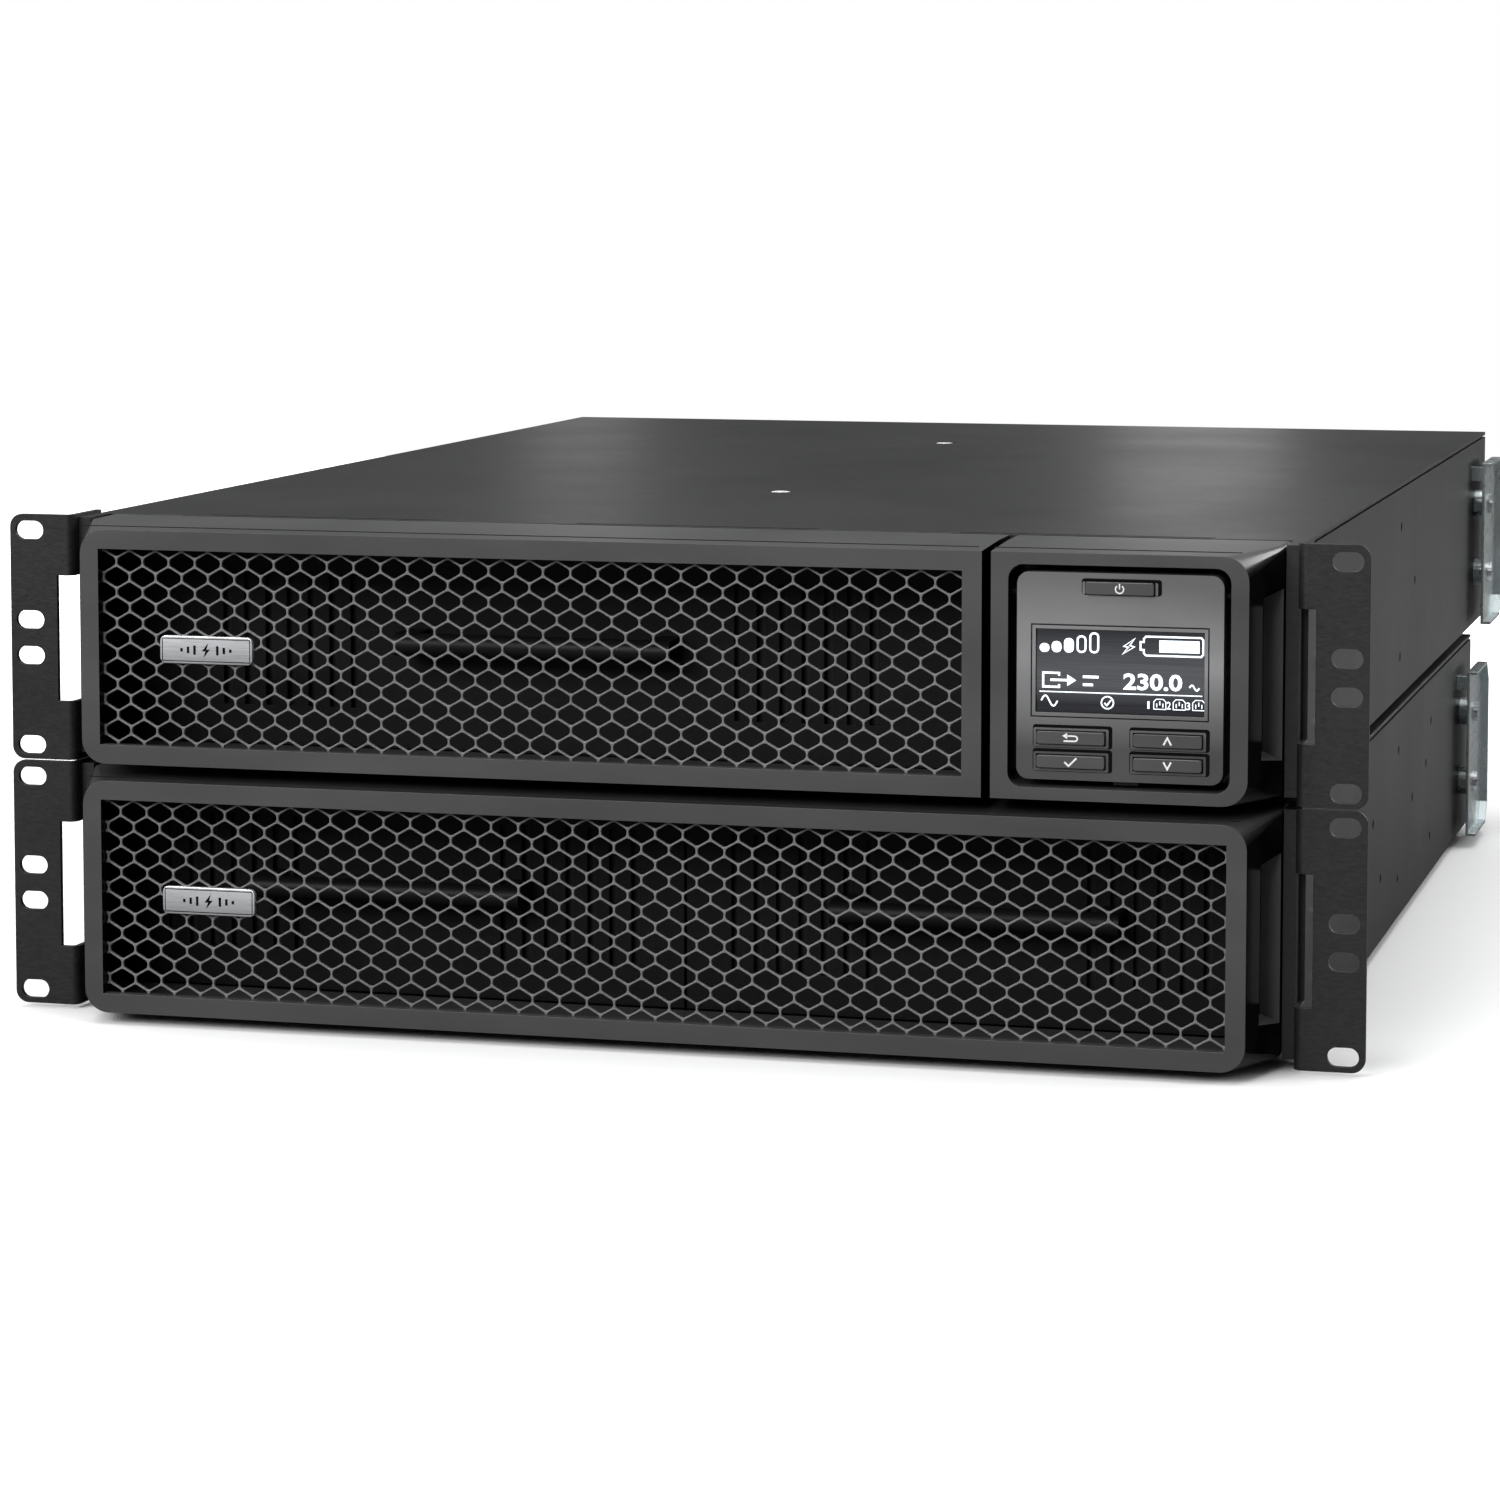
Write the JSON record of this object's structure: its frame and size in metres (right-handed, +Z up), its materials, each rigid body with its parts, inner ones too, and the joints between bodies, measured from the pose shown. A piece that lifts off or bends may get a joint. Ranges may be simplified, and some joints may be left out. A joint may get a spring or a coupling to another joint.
{
  "type": "rackmount ups",
  "caption": "Rack-mount uninterruptible power supply with a tilting display, standing on a matching battery pack; mesh bezels, slotted rack ears, sliding battery cartridges.",
  "frame": {"origin": "middle of the stack's footprint, on the plane the lowest feet stand on", "axes": "X to the right seen from the front, +Y from the front face to the rear, +Z up; the front faces -Y"},
  "size_m": [0.4798, 0.635, 0.1761],
  "materials": {
    "case_paint": "fine textured black powder coat",
    "bezel_plastic": "satin black moulding",
    "mesh_paint": "satin charcoal paint",
    "badge_silver": "satin silver",
    "panel_plastic": "satin dark grey",
    "release_plastic": "satin black",
    "screen_glass": "glossy black screen window",
    "circuit_board": "green board",
    "bright_steel": "bright plated steel",
    "zinc_steel": "bluish zinc plate",
    "tray_steel": "dark sheet steel",
    "handle_plastic": "matt black",
    "battery_case": "dark battery case",
    "heat_sink_alloy": "bare extrusion",
    "capacitor_can": "sleeved can",
    "copper_winding": "enamelled copper",
    "fan_plastic": "matt black",
    "socket_plastic": "black moulding",
    "link_plastic": "grey connector shell",
    "breaker_white": "off-white plastic",
    "card_steel": "plated card plate and board",
    "foot_rubber": "matt rubber"
  },
  "bodies": {
    "stack": {"ups_chassis": "case_paint", "ups_cover": "case_paint", "ups_rear_panel": "case_paint", "battery_bay_wall": "case_paint", "display_bezel": "bezel_plastic", "display_pins": "tray_steel", "ups_ears": "case_paint", "ups_brackets": "zinc_steel", "power_board": "circuit_board", "heat_sinks": "heat_sink_alloy", "capacitors": "capacitor_can", "inductors": "copper_winding", "fan_frame_left": "fan_plastic", "fan_frame_right": "fan_plastic", "fan_guards": "bright_steel", "outlet_bank_left": "socket_plastic", "outlet_bank_right": "socket_plastic", "large_outlets": "socket_plastic", "power_inlet": "socket_plastic", "breaker_body": "socket_plastic", "network_card": "card_steel", "comm_ports": "socket_plastic", "ups_link_socket": "link_plastic", "pack_chassis": "case_paint", "pack_cover": "case_paint", "pack_rear_panel": "case_paint", "pack_ears": "case_paint", "pack_brackets": "zinc_steel", "pack_breaker": "socket_plastic", "pack_link_sockets": "link_plastic", "screws": "bright_steel", "feet": "foot_rubber"},
    "battery_cartridge": {"battery_tray": "tray_steel", "battery_handle": "handle_plastic", "battery_blocks": "battery_case"},
    "grille": {"grille_frame": "bezel_plastic", "grille_mesh": "mesh_paint", "ups_badge": "badge_silver"},
    "display": {"display_shell": "panel_plastic", "display_lens": "screen_glass", "display_board": "circuit_board"},
    "release_key": {"display_release": "release_plastic"},
    "power_key": {"power_button": "panel_plastic"},
    "escape_key": {"escape_button": "panel_plastic"},
    "enter_key": {"enter_button": "panel_plastic"},
    "up_key": {"up_button": "panel_plastic"},
    "down_key": {"down_button": "panel_plastic"},
    "fan_left": {"fan_rotor_left": "fan_plastic"},
    "fan_right": {"fan_rotor_right": "fan_plastic"},
    "reset_button": {"breaker_button": "breaker_white"},
    "pack_cartridge_left": {"pack_tray_left": "tray_steel", "pack_handle_left": "handle_plastic", "pack_blocks_left": "battery_case"},
    "pack_cartridge_right": {"pack_tray_right": "tray_steel", "pack_handle_right": "handle_plastic", "pack_blocks_right": "battery_case"},
    "pack_grille": {"pack_frame": "bezel_plastic", "pack_mesh": "mesh_paint", "pack_badge": "badge_silver"},
    "breaker_lever": {"pack_breaker_lever": "breaker_white"}
  },
  "joints": [
    {"name": "battery_slide", "type": "slide", "parent": "stack", "child": "battery_cartridge", "axis": [0, -1, 0], "range_m": [0, 0.34]},
    {"name": "grille_pull", "type": "slide", "parent": "battery_cartridge", "child": "grille", "axis": [0, -1, 0], "range_m": [0, 0.06]},
    {"name": "display_tilt", "type": "hinge", "parent": "stack", "child": "display", "pos_m": [0.161, -0.3095, 0.1595], "axis": [-1, 0, 0], "range_deg": [0, 20]},
    {"name": "display_release_slide", "type": "slide", "parent": "display", "child": "release_key", "axis": [0, 0, 1], "range_m": [0, 0.0012], "stiffness_N_per_m": 400, "springref_m": -0.001},
    {"name": "power_press", "type": "slide", "parent": "display", "child": "power_key", "axis": [0, 1, 0], "range_m": [0, 0.001], "stiffness_N_per_m": 600},
    {"name": "escape_press", "type": "slide", "parent": "display", "child": "escape_key", "axis": [0, 1, 0], "range_m": [0, 0.001], "stiffness_N_per_m": 600},
    {"name": "enter_press", "type": "slide", "parent": "display", "child": "enter_key", "axis": [0, 1, 0], "range_m": [0, 0.001], "stiffness_N_per_m": 600},
    {"name": "up_press", "type": "slide", "parent": "display", "child": "up_key", "axis": [0, 1, 0], "range_m": [0, 0.001], "stiffness_N_per_m": 600},
    {"name": "down_press", "type": "slide", "parent": "display", "child": "down_key", "axis": [0, 1, 0], "range_m": [0, 0.001], "stiffness_N_per_m": 600},
    {"name": "fan_left_spin", "type": "hinge", "parent": "stack", "child": "fan_left", "pos_m": [-0.178, 0.3, 0.13325], "axis": [0, 1, 0], "continuous": true},
    {"name": "fan_right_spin", "type": "hinge", "parent": "stack", "child": "fan_right", "pos_m": [-0.104, 0.3, 0.13325], "axis": [0, 1, 0], "continuous": true},
    {"name": "breaker_reset", "type": "slide", "parent": "stack", "child": "reset_button", "axis": [0, 1, 0], "range_m": [0, 0.004]},
    {"name": "pack_left_slide", "type": "slide", "parent": "stack", "child": "pack_cartridge_left", "axis": [0, -1, 0], "range_m": [0, 0.34]},
    {"name": "pack_right_slide", "type": "slide", "parent": "stack", "child": "pack_cartridge_right", "axis": [0, -1, 0], "range_m": [0, 0.34]},
    {"name": "pack_grille_pull", "type": "slide", "parent": "pack_cartridge_left", "child": "pack_grille", "axis": [0, -1, 0], "range_m": [0, 0.06]},
    {"name": "pack_breaker_switch", "type": "hinge", "parent": "stack", "child": "breaker_lever", "pos_m": [0.06, 0.2529, 0.04575], "axis": [1, 0, 0], "range_deg": [-40, 0]}
  ],
  "couplings": [
    {"joint": "pack_right_slide", "follows": "pack_left_slide", "ratio": 1}
  ]
}
